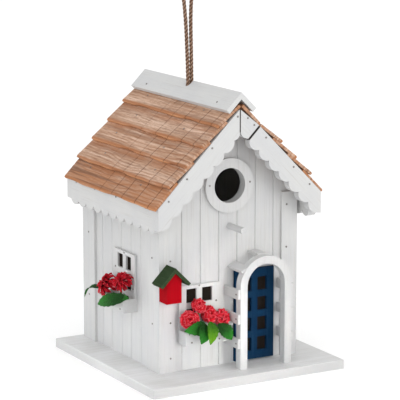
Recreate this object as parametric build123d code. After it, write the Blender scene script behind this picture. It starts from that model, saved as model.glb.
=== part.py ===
from build123d import *
import math
import os

# Hanging wooden birdhouse in the shape of a small country house.
# Millimetres. Origin: centre of the base board's underside. +Z up, the front faces -Y.

# Boards
BASE_SIDE = 200.0
BASE_THICK = 8.5
WALL = 6.0
STRIP = 2.5
BARGE = 8.0

# House body
WALL_HALF = 70.0
FRONT_Y = -57.0
BACK_Y = 93.5
GROOVE_PITCH = 19.2
GROOVE_WIDTH = 1.1
GROOVE_DEPTH = 0.9
STRIP_FRONT_WIDTH = 16.5
STRIP_SIDE_WIDTH = 24.0
STRIP_TOP = 164.0

# Roof: both slopes fall at 45 degrees from APEX_Z. On a slope, u runs down from the ridge
# and v stands out from the top of the deck.
APEX_Z = 250.0
DECK = 6.0
FLAP_DECK = 5.7
EAVE_X = 84.5
FASCIA_X = 76.0
BARGE_FRONT_Y = -81.0
BARGE_BACK_Y = 101.5
COURSE_FRONT_Y = -80.5
COURSE_BACK_Y = 102.0
COURSE = 2.6
COURSE_LAP = 10.0
LEFT_ENDS = (29.7, 53.3, 76.9, 100.5, 122.6)
FLAP_ENDS = (55.8, 78.0, 101.5, 121.8)
RIDGE_U = 0.5
CAP_UNDER = 4.6
CAP_THICK = 4.4
CAP_END_U = 12.4
CAP_BACK_Y = 102.0

# Scalloped edges
BARGE_CUSP = 15.7
BARGE_APEX_Z = 247.4
BARGE_KNEE_U = 22.0
JOINT_X = -1.6
JOINT_GAP = 0.8
LOBE_PITCH = 14.9
LOBE_DEPTH = 3.9
MITRE_LOBE = 0.55
LOBES = 6
BARGE_FOOT_Z = 145.5
FOOT_WIDTH = 7.0
FOOT_RISE = 0.9
HEEL_INSET = 12.4
HEEL_RISE = 5.2
FASCIA_CUSP_Z = 145.9
FASCIA_LOBE = 15.6
FASCIA_LOBE_DEPTH = 4.7
FASCIA_FIRST_CUSP = -62.8

# Flap joint
SPLIT_U = 26.5
SPLIT_GAP = 1.8
HINGE_Y = (-45.0, 67.0)
HINGE_LENGTH = 18.0
KNUCKLE_R = 1.3
PIN_R = 0.6
PIN_CLEARANCE = 0.05
HINGE_CLEAR = 0.15
LEAF = 0.7
LEAF_WIDTH = 8.0
LEAF_RISE = 0.4
SCREW_U = 5.2
SCREW_Y = 5.5
SCREW_R = 0.6
SCREW_HEAD_R = 1.2
SCREW_HEAD = 0.35
SCREW_LENGTH = 6.0

# Entrance
HOLE_Z = 175.5
HOLE_R = 16.0
RING_R = 25.0
RING_THICK = 3.5
PERCH_X = 1.5
PERCH_Z = 137.4
PERCH_R = 3.0
PERCH_OUT = 26.0

# Portal and door
DOOR_X = 26.5
DOOR_WIDTH = 41.5
DOOR_BOTTOM = 10.0
DOOR_TOP = 95.7
DOOR_THICK = 2.8
DOOR_PANE_WIDTH = 10.0
DOOR_PANE_HEIGHT = 12.8
DOOR_PANE_PITCH_X = 16.4
DOOR_PANE_PITCH_Z = 18.9
DOOR_PANE_DROP = 0.3
BACKING = 0.5
BACKING_MARGIN = 1.0
PORTAL_X = 25.4
PORTAL_SPRING_Z = 85.0
PORTAL_OUTER = 27.0
PORTAL_INNER = 19.8
PORTAL_FRONT_Y = -83.0
PORTAL_THICK = 8.0
SLAT_HEIGHT = 9.0
SLAT_THICK = 2.5
SLAT_FRONT_Y = -82.4
SLAT_Z = (33.0, 55.8, 78.8)
CROWN_SLAT_RISE = 1.0
SHOULDER_SLATS = ((3.9, 101.2, 116.0, SLAT_FRONT_Y), (47.2, 100.6, 62.0, PORTAL_FRONT_Y + PORTAL_THICK))

# Windows: width, height, pane size and bar width are shared by the two frames.
WINDOW_WIDTH = 41.5
WINDOW_HEIGHT = 40.5
PANE_WIDTH = 10.4
PANE_HEIGHT = 13.2
BAR = 5.9
CROSS_BAR = 5.3
FRAME_THICK = 2.0
FRONT_WINDOW = (-31.2, 67.4)
SIDE_WINDOW = (8.0, 89.0)
PANE_RISE = 1.0

# Flower boxes and flowers: (across, out from the wall, height) for each bloom's centre
BOX_LENGTH = 44.0
BOX_HEIGHT = 12.5
BOX_DEPTH = 14.5
BOX_SHIFT = 1.2
STEM_R = 1.0
STEM_BORE = 7.0
FRONT_BLOOM_R = 6.6
SIDE_BLOOM_R = 8.4
FRONT_BLOOMS = ((-48.0, 13.0, 61.0), (-39.5, 11.5, 71.5), (-27.0, 12.0, 63.5), (-12.5, 12.0, 59.0))
SIDE_BLOOMS = ((24.6, 13.0, 77.2), (-3.6, 12.5, 83.9))
FRONT_LEAF_X = (-45.0, -29.0, -14.0)
SIDE_LEAF_Y = (34.0, 12.0)
LEAF_GAP = 2.0
LEAF_PLATE = 0.8
LEAF_LENGTH = 15.0
LEAF_BLADE = 9.0
LEAF_DROP = 2.5

# Little red house on the corner
MINI_X = -64.8
MINI_BOTTOM = 76.5
MINI_HALF = 7.6
MINI_DEPTH = 14.0
MINI_ROOF = 3.0
MINI_ROOF_HALF = 15.2
MINI_ROOF_DEPTH = 17.5
MINI_ROOF_APEX = 109.5

# Hanging cord: jute twine doubled through the ridge, knotted below it, in X and Z
CORD_R = 1.7
CORD_X = -1.1
CORD_Y = 11.0
CORD_HOLE_R = 4.0
KNOT_R = 6.0
KNOT_Z = 231.5
BEND_SHARE = 0.45
CORD_UP = ((-2.9, 236.0), (-3.0, 264.0), (-6.9, 345.0), (-17.6, 369.0), (-13.9, 391.6))
CORD_DOWN = ((6.7, 392.3), (9.6, 368.5), (-1.1, 345.0), (0.7, 264.0), (0.75, 236.0))

# Brads and nails
BRAD_R = 0.5
BRAD_HEAD_R = 0.85
BRAD_HEAD = 0.3
BRAD_FIT = 0.02
DECK_BRAD_V = -3.2
DECK_BRAD = 14.0
CAP_BRAD = 11.0
WALL_BRAD = 7.0
SLAT_BRAD = 6.0
SLAT_BRAD_Y = -79.2
BOX_BRAD = BOX_DEPTH + 4.0
NAIL_R = 0.7
NAIL_LENGTH = 18.0
NAIL_HEAD_R = 1.6
NAIL_HEAD = 0.8

ROOT2 = math.sqrt(2)
STRIP_Y = FRONT_Y - STRIP
CHAMBER_HALF = WALL_HALF - WALL

parts = {}
brads = {}


def on_roof(side, u, v):
    """X and Z of the point u down the slope and v above the deck, on side -1 or 1."""
    return side * (u + v) / ROOT2, APEX_Z - (u - v) / ROOT2


def along_y(outline, y0, y1):
    """A solid from an outline in X and Z, between two depths."""
    wire = Polyline(*[(x, y0, z) for x, z in outline], close=True)
    return extrude(make_face(wire), amount=y1 - y0, dir=(0, 1, 0))


def slope_slab(side, outline, y0, y1):
    """A solid from an outline in u and v on one slope, between two depths."""
    return along_y([on_roof(side, u, v) for u, v in outline], y0, y1)


def block(x0, x1, y0, y1, z0, z1):
    """A box between three pairs of coordinates."""
    size = (x1 - x0, y1 - y0, z1 - z0)
    return Pos((x0 + x1) / 2, (y0 + y1) / 2, (z0 + z1) / 2) * Box(*size)


def rod(start, direction, radius, length):
    """A round bar that starts at a point and runs along a direction."""
    plane = Plane(origin=start, z_dir=direction)
    return plane * Cylinder(radius, length, align=(Align.CENTER, Align.CENTER, Align.MIN))


def roof_point(side, u, v, y):
    """The same point as on_roof gives, at a depth, as a vector."""
    x, z = on_roof(side, u, v)
    return Vector(x, y, z)


def lobe(a, b, bulge, depth):
    """One scallop from cusp a to cusp b that bulges by depth along a direction."""
    middle = (a + b) * 0.5 + Vector(*bulge).normalized() * depth
    return ThreePointArc(a, middle, b)


def drive(group, point, direction, length, through):
    """Put a brad in its group and bore the pieces that it passes through."""
    unit = Vector(*direction).normalized()
    head_start = Vector(*point) - unit * BRAD_HEAD
    head = rod(head_start, direction, BRAD_HEAD_R, BRAD_HEAD)
    shank = rod(point, direction, BRAD_R, length)
    brads.setdefault(group, []).append(head + shank)
    for name in through:
        parts[name] = parts[name] - rod(point, direction, BRAD_R + BRAD_FIT, length)


# Base board, with softened edges
base = block(-BASE_SIDE / 2, BASE_SIDE / 2, -BASE_SIDE / 2, BASE_SIDE / 2, 0, BASE_THICK)
soft_edges = base.edges().filter_by(Axis.Z) + base.edges().group_by(Axis.Z)[-1]
parts["base_board"] = fillet(soft_edges, 0.8)

# Gable walls and side walls, each with V-grooves on its outer face
under_deck = APEX_Z - DECK * ROOT2
eave_z = under_deck - WALL_HALF
gable = [
    (-WALL_HALF, BASE_THICK),
    (WALL_HALF, BASE_THICK),
    (WALL_HALF, eave_z),
    (0, under_deck),
    (-WALL_HALF, eave_z),
]


def groove_along_x(x, face_y, inward):
    """A vertical V-groove cutter at x on a face that looks along Y."""
    points = [
        (x - GROOVE_WIDTH / 2, face_y, 0),
        (x, face_y + inward * GROOVE_DEPTH, 0),
        (x + GROOVE_WIDTH / 2, face_y, 0),
    ]
    return extrude(make_face(Polyline(*points, close=True)), amount=APEX_Z, dir=(0, 0, 1))


def groove_along_y(y, face_x, inward):
    """A vertical V-groove cutter at y on a face that looks along X."""
    points = [
        (face_x, y - GROOVE_WIDTH / 2, 0),
        (face_x + inward * GROOVE_DEPTH, y, 0),
        (face_x, y + GROOVE_WIDTH / 2, 0),
    ]
    return extrude(make_face(Polyline(*points, close=True)), amount=APEX_Z, dir=(0, 0, 1))


front = along_y(gable, FRONT_Y, FRONT_Y + WALL)
back = along_y(gable, BACK_Y - WALL, BACK_Y)
for k in range(-3, 3):
    groove_x = (k + 0.5) * GROOVE_PITCH
    front -= groove_along_x(groove_x, FRONT_Y, 1)
    back -= groove_along_x(groove_x, BACK_Y, -1)
front -= rod((0, FRONT_Y - 1, HOLE_Z), (0, 1, 0), HOLE_R, WALL + 2)
front -= rod((PERCH_X, FRONT_Y - 1, PERCH_Z), (0, 1, 0), PERCH_R, WALL + 2)
parts["front_wall"] = front
parts["back_wall"] = back

side_y0 = FRONT_Y + WALL
side_y1 = BACK_Y - WALL
side_mid = (FRONT_Y + BACK_Y) / 2
for side, name in ((-1, "left_wall"), (1, "right_wall")):
    section = [
        (side * WALL_HALF, BASE_THICK),
        (side * CHAMBER_HALF, BASE_THICK),
        (side * CHAMBER_HALF, eave_z + WALL),
        (side * WALL_HALF, eave_z),
    ]
    wall = along_y(section, side_y0, side_y1)
    for k in range(-2, 3):
        wall -= groove_along_y(side_mid + k * GROOVE_PITCH, side * WALL_HALF, -side)
    parts[name] = wall

# Corner strips: one on each end of the front, two on each side
strip_x = WALL_HALF + STRIP
for side, name in ((-1, "front_left_strip"), (1, "front_right_strip")):
    inner = side * (strip_x - STRIP_FRONT_WIDTH)
    x0, x1 = sorted((inner, side * strip_x))
    parts[name] = block(x0, x1, STRIP_Y, FRONT_Y, BASE_THICK, STRIP_TOP)

side_strips = []
for side in (-1, 1):
    x0, x1 = sorted((side * WALL_HALF, side * strip_x))
    side_strips.append(block(x0, x1, FRONT_Y, STRIP_Y + STRIP_SIDE_WIDTH, BASE_THICK, STRIP_TOP))
    side_strips.append(block(x0, x1, BACK_Y - STRIP_SIDE_WIDTH, BACK_Y, BASE_THICK, STRIP_TOP))
parts["side_corner_strips"] = Compound(side_strips)

# Roof decks, between the front and back barge boards
deck_y0 = BARGE_FRONT_Y + BARGE
deck_y1 = BARGE_BACK_Y - BARGE
gap_up = SPLIT_U - SPLIT_GAP / 2
gap_down = SPLIT_U + SPLIT_GAP / 2
fascia_top = APEX_Z - FASCIA_X
parts["roof_deck_left"] = along_y(
    [
        (0, APEX_Z),
        (-FASCIA_X, fascia_top),
        (-FASCIA_X, fascia_top - DECK * ROOT2),
        (0, under_deck),
    ],
    deck_y0,
    deck_y1,
)
parts["roof_deck_right"] = along_y(
    [(0, APEX_Z), on_roof(1, gap_up, 0), on_roof(1, gap_up, -DECK), (0, under_deck)],
    deck_y0,
    deck_y1,
)
parts["flap_deck"] = along_y(
    [
        on_roof(1, gap_down, 0),
        (FASCIA_X, fascia_top),
        (FASCIA_X, fascia_top - FLAP_DECK * ROOT2),
        on_roof(1, gap_down, -FLAP_DECK),
    ],
    deck_y0,
    deck_y1,
)


def course(side, start, end, lift_start, lift_end):
    """A shingle board from start to end down the slope, its underside lifted at each end."""
    outline = [
        (start, lift_start),
        (end, lift_end),
        (end, lift_end + COURSE),
        (start, lift_start + COURSE),
    ]
    return slope_slab(side, outline, COURSE_FRONT_Y, COURSE_BACK_Y)


def lay_courses(side, first_start, ends, prefix):
    """Boards from the eave up: each upper edge lies on the deck, each lower edge on the next board.

    Returns each board's name, start, end and how far its lower edge is raised.
    """
    starts = [first_start] + [end - COURSE_LAP for end in ends[:-1]]
    laid = []
    slope = 0
    raised = 0
    seat = COURSE + 0.05
    for number in range(len(ends), 0, -1):
        start = starts[number - 1]
        end = ends[number - 1]
        if number < len(ends):
            on_edge = seat * (end - start) / (starts[number] - start)
            raised = max(on_edge, seat + slope * COURSE_LAP)
            slope = raised / (end - start)
        name = f"{prefix}_{number}"
        parts[name] = course(side, start, end, 0, raised)
        laid.append((name, start, end, raised))
    return laid[::-1]


# Shingle courses: every board tilts on the one below it, and the last lies flat
left_laid = lay_courses(-1, RIDGE_U, LEFT_ENDS, "left_course")
parts["right_top_course"] = course(1, RIDGE_U, gap_up, 0, 0)
flap_laid = lay_courses(1, gap_down, FLAP_ENDS, "flap_course")

# Ridge cap: two boards mitred over the apex
cap_top = CAP_UNDER + CAP_THICK
for side, name in ((-1, "ridge_cap_left"), (1, "ridge_cap_right")):
    outline = [
        (0, APEX_Z + CAP_UNDER * ROOT2),
        on_roof(side, CAP_END_U, CAP_UNDER),
        on_roof(side, CAP_END_U, cap_top),
        (0, APEX_Z + cap_top * ROOT2),
    ]
    parts[name] = along_y(outline, COURSE_FRONT_Y, CAP_BACK_Y)

# Cord hole down through the ridge
cord_hole = rod((CORD_X, CORD_Y, KNOT_Z), (0, 0, 1), CORD_HOLE_R, APEX_Z)
for name in (
    "ridge_cap_left",
    "ridge_cap_right",
    "left_course_1",
    "right_top_course",
    "roof_deck_left",
    "roof_deck_right",
):
    parts[name] = parts[name] - cord_hole


def joint_points(side, y):
    """The top and foot of the upright joint at the apex, on one side of its gap."""
    x = JOINT_X + side * JOINT_GAP / 2
    return Vector(x, y, BARGE_APEX_Z), Vector(x, y, APEX_Z - BARGE_CUSP * ROOT2)


def barge(side, first, y, top_start):
    """A barge board with a scalloped lower edge, from cusp number first to the eave.

    With first = -1 the board starts at the joint at the apex, a little below the deck's edge.
    """
    cusps = [roof_point(side, SPLIT_U + k * LOBE_PITCH, -BARGE_CUSP, y) for k in range(LOBES + 1)]
    foot_out = Vector(side * EAVE_X, y, BARGE_FOOT_Z)
    foot_in = Vector(side * (EAVE_X - FOOT_WIDTH), y, BARGE_FOOT_Z + FOOT_RISE)
    heel = Vector(side * (EAVE_X - HEEL_INSET), y, BARGE_FOOT_Z + HEEL_RISE)
    eave = Vector(side * EAVE_X, y, APEX_Z - EAVE_X)
    inward = (-side, 0, -1)
    if first < 0:
        start, low = joint_points(side, y)
        knee = roof_point(side, BARGE_KNEE_U, 0, y)
        edges = [lobe(cusps[0], low, inward, LOBE_DEPTH * MITRE_LOBE)]
        edges += [Line(start, knee), Line(knee, eave)]
    else:
        start = roof_point(side, top_start, 0, y)
        low = roof_point(side, top_start, -BARGE_CUSP, y)
        cusps[0] = low
        edges = [Line(start, eave)]
    edges += [Line(low, start), Line(eave, foot_out), Line(foot_out, foot_in)]
    edges.append(ThreePointArc(foot_in, heel, cusps[-1]))
    edges += [lobe(a, b, inward, LOBE_DEPTH) for a, b in zip(cusps[1:], cusps[:-1])]
    face = make_face(Wire(Wire.combine(edges)[0].edges()))
    return extrude(face, amount=BARGE, dir=(0, 1, 0))


def short_barge(y):
    """The fixed top piece of a right-hand barge board, above the flap."""
    apex, low = joint_points(1, y)
    top = roof_point(1, gap_up, 0, y)
    end = roof_point(1, gap_up, -BARGE_CUSP, y)
    arc = lobe(end, low, (-1, 0, -1), LOBE_DEPTH * MITRE_LOBE)
    edges = [Line(apex, top), Line(top, end), arc, Line(low, apex)]
    face = make_face(Wire(Wire.combine(edges)[0].edges()))
    return extrude(face, amount=BARGE, dir=(0, 1, 0))


barge_back = BARGE_BACK_Y - BARGE
for y, end_name in ((BARGE_FRONT_Y, "front"), (barge_back, "back")):
    parts[f"barge_{end_name}_left"] = barge(-1, -1, y, 0)
    parts[f"barge_{end_name}_right_top"] = short_barge(y)
    parts[f"flap_barge_{end_name}"] = barge(1, 0, y, gap_down)


def fascia(side):
    """An eave board between the barges, its top cut to the slope, its foot scalloped."""
    inner = side * FASCIA_X
    x0 = min(inner, side * EAVE_X)
    whole_lobes = int((deck_y1 - FASCIA_FIRST_CUSP) / FASCIA_LOBE - 0.5)
    cusp_y = [FASCIA_FIRST_CUSP + k * FASCIA_LOBE for k in range(whole_lobes + 1)]
    cusps = [Vector(x0, y, FASCIA_CUSP_Z) for y in [deck_y0, *cusp_y, deck_y1]]
    top = APEX_Z - FASCIA_X
    edges = [
        Line((x0, deck_y0, FASCIA_CUSP_Z), (x0, deck_y0, top)),
        Line((x0, deck_y0, top), (x0, deck_y1, top)),
        Line((x0, deck_y1, top), (x0, deck_y1, FASCIA_CUSP_Z)),
    ]
    for a, b in zip(cusps, cusps[1:]):
        edges.append(lobe(a, b, (0, 0, -1), FASCIA_LOBE_DEPTH))
    face = make_face(Wire(Wire.combine(edges)[0].edges()))
    board = extrude(face, amount=EAVE_X - FASCIA_X, dir=(1, 0, 0))
    waste = along_y(
        [
            (side * FASCIA_X, top),
            (side * (EAVE_X + 1), top - (EAVE_X + 1 - FASCIA_X)),
            (side * (EAVE_X + 1), top + 1),
            (side * FASCIA_X, top + 1),
        ],
        deck_y0 - 1,
        deck_y1 + 1,
    )
    return board - waste


parts["fascia_left"] = fascia(-1)
parts["flap_fascia"] = fascia(1)

# Two butt hinges on the top of the roof join the flap to the fixed strip below the cap.
axis_x, axis_z = on_roof(1, SPLIT_U, COURSE + KNUCKLE_R)
flap_slope = flap_laid[0][3] / (FLAP_ENDS[0] - gap_down)
third = HINGE_LENGTH / 3
bend_v = COURSE + LEAF_RISE


def leaf_outline(edge_u, far_u, far_v):
    """A hinge leaf in u and v: flat on its board, bent up to the pin line."""
    return [
        (far_u, far_v),
        (edge_u, COURSE),
        (SPLIT_U, bend_v),
        (SPLIT_U, bend_v + LEAF),
        (edge_u, COURSE + LEAF),
        (far_u, far_v + LEAF),
    ]


def along_pin(radius, y0, extra):
    """A round bar on the pin line, longer than the hinge by extra at each end."""
    return rod((axis_x, y0 - extra, axis_z), (0, 1, 0), radius, HINGE_LENGTH + 2 * extra)


def across_pin(y0, y1):
    """A block round the pin line between two depths."""
    reach = 4 * KNUCKLE_R
    return block(axis_x - reach, axis_x + reach, y0, y1, axis_z - reach, axis_z + reach)


far_drop = (LEAF_WIDTH - SPLIT_GAP / 2) * flap_slope
fixed_outline = leaf_outline(gap_up, SPLIT_U - LEAF_WIDTH, COURSE)
flap_outline = leaf_outline(gap_down, SPLIT_U + LEAF_WIDTH, COURSE + far_drop)
fixed_leaves = []
flap_leaves = []
pins = []
for middle in HINGE_Y:
    y0 = middle - HINGE_LENGTH / 2
    y1 = middle + HINGE_LENGTH / 2
    barrel = along_pin(KNUCKLE_R, y0, 0)
    clear = along_pin(KNUCKLE_R + HINGE_CLEAR, y0, 1)
    fixed_plate = slope_slab(1, fixed_outline, y0, y1)
    flap_plate = slope_slab(1, flap_outline, y0, y1)
    middle_slot = across_pin(y0 + third - HINGE_CLEAR, y1 - third + HINGE_CLEAR)
    middle_third = across_pin(y0 + third, y1 - third)
    fixed_leaf = (fixed_plate - clear) + (fixed_plate + barrel - middle_slot)
    flap_leaf = (flap_plate - clear) + ((flap_plate + barrel) & middle_third)
    fixed_leaves.append(fixed_leaf - along_pin(PIN_R, y0, 1))
    flap_leaves.append(flap_leaf - along_pin(PIN_R + PIN_CLEARANCE, y0, 1))
    pins.append(along_pin(PIN_R, y0, 0))
parts["hinge_leaves_fixed"] = Compound(fixed_leaves)
parts["hinge_leaves_flap"] = Compound(flap_leaves)
parts["hinge_pins"] = Compound(pins)

# Entrance ring and perch
ring_plate = rod((0, FRONT_Y - RING_THICK, HOLE_Z), (0, 1, 0), RING_R, RING_THICK)
ring_bore = rod((0, FRONT_Y - 2 * RING_THICK, HOLE_Z), (0, 1, 0), HOLE_R, 3 * RING_THICK)
parts["entrance_ring"] = ring_plate - ring_bore
parts["perch"] = rod((PERCH_X, FRONT_Y - PERCH_OUT, PERCH_Z), (0, 1, 0), PERCH_R, PERCH_OUT + WALL)


def panes(columns, rows, column_pitch, row_pitch, width, height, depth):
    """A grid of square cutters about the origin, across X and Z."""
    cut = []
    for i in range(columns):
        for j in range(rows):
            x = (i - (columns - 1) / 2) * column_pitch
            z = (j - (rows - 1) / 2) * row_pitch
            cut.append(Pos(x, 0, z) * Box(width, depth, height))
    return Compound(cut)


# Door: a painted plate with two columns of four windows over a dark backing
door_mid_z = (DOOR_BOTTOM + DOOR_TOP) / 2
door_back = FRONT_Y - BACKING
door_x0 = DOOR_X - DOOR_WIDTH / 2
door_x1 = DOOR_X + DOOR_WIDTH / 2
door = block(door_x0, door_x1, door_back - DOOR_THICK, door_back, DOOR_BOTTOM, DOOR_TOP)
door_grid = (2, 4, DOOR_PANE_PITCH_X, DOOR_PANE_PITCH_Z)
door_windows = panes(*door_grid, DOOR_PANE_WIDTH, DOOR_PANE_HEIGHT, 3 * DOOR_THICK)
parts["door_panel"] = door - Pos(DOOR_X, door_back, door_mid_z - DOOR_PANE_DROP) * door_windows
parts["door_backing"] = block(
    door_x0 + BACKING_MARGIN,
    door_x1 - BACKING_MARGIN,
    door_back,
    FRONT_Y,
    DOOR_BOTTOM + BACKING_MARGIN,
    DOOR_TOP - BACKING_MARGIN,
)

# Portal arch in front of the door
arch_back = PORTAL_FRONT_Y + PORTAL_THICK


def arch_plug(radius, extra):
    """The round-topped shape of one radius, from the base board up."""
    legs = block(
        PORTAL_X - radius,
        PORTAL_X + radius,
        PORTAL_FRONT_Y - extra,
        arch_back + extra,
        BASE_THICK - extra,
        PORTAL_SPRING_Z,
    )
    crown_start = (PORTAL_X, PORTAL_FRONT_Y - extra, PORTAL_SPRING_Z)
    return legs + rod(crown_start, (0, 1, 0), radius, PORTAL_THICK + 2 * extra)


parts["portal_arch"] = arch_plug(PORTAL_OUTER, 0) - arch_plug(PORTAL_INNER, 1)

# Slats tie the arch back to the wall: three on each leg, one behind the crown and one on each
# shoulder, which is let into the arch.
slats = []
slat_feet = []
for side in (-1, 1):
    for z in SLAT_Z:
        inner_x = PORTAL_X + side * PORTAL_OUTER
        outer_x = PORTAL_X + side * (PORTAL_OUTER + SLAT_THICK)
        x0, x1 = sorted((inner_x, outer_x))
        slats.append(block(x0, x1, SLAT_FRONT_Y, FRONT_Y, z - SLAT_HEIGHT / 2, z + SLAT_HEIGHT / 2))
        slat_feet.append(((outer_x, z), (-side, 0)))
crown_top = PORTAL_SPRING_Z + PORTAL_OUTER + CROWN_SLAT_RISE
crown_x = (PORTAL_X - SLAT_HEIGHT / 2, PORTAL_X + SLAT_HEIGHT / 2)
slats.append(block(*crown_x, arch_back, FRONT_Y, crown_top - SLAT_THICK, crown_top))
for x, z, angle, front_end in SHOULDER_SLATS:
    slat = Box(SLAT_THICK, FRONT_Y - front_end, SLAT_HEIGHT)
    slat = Pos(x, (front_end + FRONT_Y) / 2, z) * Rot(0, -angle, 0) * slat
    slats.append(slat - arch_plug(PORTAL_OUTER, 0))
parts["portal_slats"] = Compound(slats)


def window_frame():
    """A frame with four panes, about the origin, facing -Y, its back on y = 0."""
    frame = Pos(0, -FRAME_THICK / 2, 0) * Box(WINDOW_WIDTH, FRAME_THICK, WINDOW_HEIGHT)
    grid = (2, 2, PANE_WIDTH + BAR, PANE_HEIGHT + CROSS_BAR)
    holes = panes(*grid, PANE_WIDTH, PANE_HEIGHT, 3 * FRAME_THICK)
    return frame - Pos(0, 0, PANE_RISE) * holes


def window_backing():
    """The dark sheet behind the panes, about the origin, its face on y = 0."""
    margin = 2 * BACKING_MARGIN
    return Pos(0, BACKING / 2, 0) * Box(WINDOW_WIDTH - margin, BACKING, WINDOW_HEIGHT - margin)


def to_left_wall(shape, y, z):
    """Move a shape that faces -Y, about the origin, onto the left wall."""
    return Pos(-WALL_HALF - BACKING, y, z) * Rot(0, 0, -90) * shape


front_x, front_z = FRONT_WINDOW
side_y, side_z = SIDE_WINDOW
parts["front_window_frame"] = Pos(front_x, FRONT_Y - BACKING, front_z) * window_frame()
parts["side_window_frame"] = to_left_wall(window_frame(), side_y, side_z)
front_backing = Pos(front_x, FRONT_Y - BACKING, front_z) * window_backing()
side_backing = to_left_wall(window_backing(), side_y, side_z)
parts["window_backings"] = Compound([front_backing, side_backing])

# Flower boxes: solid blocks below the windows, bored for the stems
front_box_top = front_z - WINDOW_HEIGHT / 2
side_box_top = side_z - WINDOW_HEIGHT / 2
front_box_x = front_x + BOX_SHIFT
side_box_y = side_y + BOX_SHIFT
front_box = block(
    front_box_x - BOX_LENGTH / 2,
    front_box_x + BOX_LENGTH / 2,
    FRONT_Y - BOX_DEPTH,
    FRONT_Y,
    front_box_top - BOX_HEIGHT,
    front_box_top,
)
side_box = block(
    -WALL_HALF - BOX_DEPTH,
    -WALL_HALF,
    side_box_y - BOX_LENGTH / 2,
    side_box_y + BOX_LENGTH / 2,
    side_box_top - BOX_HEIGHT,
    side_box_top,
)


front_centres = [(x, FRONT_Y - out, z) for x, out, z in FRONT_BLOOMS]
side_centres = [(-WALL_HALF - out, y, z) for y, out, z in SIDE_BLOOMS]
stems = []


def plant(box, centres, top, radius):
    """Bore a box for its stems and return the box and a ball for each bloom."""
    balls = []
    foot_z = top - STEM_BORE
    for x, y, z in centres:
        ball = Pos(x, y, z) * Sphere(radius)
        foot = (x, y, foot_z)
        stems.append(rod(foot, (0, 0, 1), STEM_R, z - foot_z) - ball)
        box -= rod(foot, (0, 0, 1), STEM_R, STEM_BORE + 1)
        balls.append(ball)
    return box, Compound(balls)


front_planted = plant(front_box, front_centres, front_box_top, FRONT_BLOOM_R)
side_planted = plant(side_box, side_centres, side_box_top, SIDE_BLOOM_R)
parts["front_flower_box"], parts["front_blooms"] = front_planted
parts["side_flower_box"], parts["side_blooms"] = side_planted
parts["flower_stems"] = Compound(stems)


def leaf_plate():
    """A pointed leaf in the XZ plane, its tip down, about the origin."""
    tip = Vector(0, 0, -LEAF_LENGTH / 2)
    root = Vector(0, 0, LEAF_LENGTH / 2)
    right = ThreePointArc(root, Vector(LEAF_BLADE / 2, 0, 0), tip)
    left = ThreePointArc(tip, Vector(-LEAF_BLADE / 2, 0, 0), root)
    return extrude(make_face([right, left]), amount=LEAF_PLATE, dir=(0, -1, 0))


front_leaf_y = FRONT_Y - BOX_DEPTH - LEAF_GAP
side_leaf_x = -WALL_HALF - BOX_DEPTH - LEAF_GAP
front_leaf_z = front_box_top - LEAF_DROP
side_leaf_z = side_box_top - LEAF_DROP
leaves = [Pos(x, front_leaf_y, front_leaf_z) * leaf_plate() for x in FRONT_LEAF_X]
leaves += [Pos(side_leaf_x, y, side_leaf_z) * Rot(0, 0, -90) * leaf_plate() for y in SIDE_LEAF_Y]
parts["flower_leaves"] = Compound(leaves)

# Little red house with two green roof boards, glued to the left corner strip
mini_front = STRIP_Y - MINI_DEPTH
mini_under = MINI_ROOF_APEX - MINI_ROOF * ROOT2
mini_cut = MINI_ROOF / ROOT2
body_outline = [
    (MINI_X - MINI_HALF, MINI_BOTTOM),
    (MINI_X + MINI_HALF, MINI_BOTTOM),
    (MINI_X + MINI_HALF, mini_under - MINI_HALF),
    (MINI_X, mini_under),
    (MINI_X - MINI_HALF, mini_under - MINI_HALF),
]
parts["mini_house_body"] = along_y(body_outline, mini_front, STRIP_Y)
mini_boards = []
for side in (-1, 1):
    eave_drop = MINI_ROOF_APEX - MINI_ROOF_HALF
    outline = [
        (MINI_X, MINI_ROOF_APEX),
        (MINI_X + side * MINI_ROOF_HALF, eave_drop),
        (MINI_X + side * (MINI_ROOF_HALF - mini_cut), eave_drop - mini_cut),
        (MINI_X, mini_under),
    ]
    mini_boards.append(along_y(outline, STRIP_Y - MINI_ROOF_DEPTH, STRIP_Y))
parts["mini_house_roof"] = Compound(mini_boards)

# Hanging cord: up through the ridge, a straight doubled stretch and an eye at the top
route = [Vector(x, CORD_Y, z) for x, z in CORD_UP + CORD_DOWN]
radii = []
for a, b, c in zip(route, route[1:], route[2:]):
    turn = math.radians((b - a).get_angle(c - b))
    radii.append(BEND_SHARE * min((b - a).length, (c - b).length) / math.tan(turn / 2))
cord_path = FilletPolyline(*route, radius=radii)
cord_section = Plane(origin=route[0], z_dir=route[1] - route[0]) * Circle(CORD_R)
cord = sweep(cord_section, path=cord_path)
print("cord length", round(cord_path.length, 1))
print("cord radii", [round(r, 1) for r in radii])
parts["hanging_rope"] = cord
parts["rope_knot"] = Pos(CORD_X, CORD_Y, KNOT_Z) * Sphere(KNOT_R) - cord

# Brads. Barge boards: through the board into the end of the deck
INTO_HOUSE = (0, 1, 0)
OUT_OF_BACK = (0, -1, 0)


def pin_barge(side, u, group, barge_name, deck):
    """A brad at u down the slope in the front barge board, and one in the back board."""
    x, z = on_roof(side, u, DECK_BRAD_V)
    front_board = barge_name.format("front")
    back_board = barge_name.format("back")
    drive(group, (x, BARGE_FRONT_Y, z), INTO_HOUSE, DECK_BRAD, (front_board, deck))
    drive(group, (x, BARGE_BACK_Y, z), OUT_OF_BACK, DECK_BRAD, (back_board, deck))


for u in (9.0, 46.0, 82.0, 108.0):
    pin_barge(-1, u, "roof_brads", "barge_{}_left", "roof_deck_left")
for u in (12.0, 21.5):
    pin_barge(1, u, "roof_brads", "barge_{}_right_top", "roof_deck_right")
for u in (39.0, 80.5, 105.0):
    pin_barge(1, u, "flap_brads", "flap_barge_{}", "flap_deck")

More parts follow.
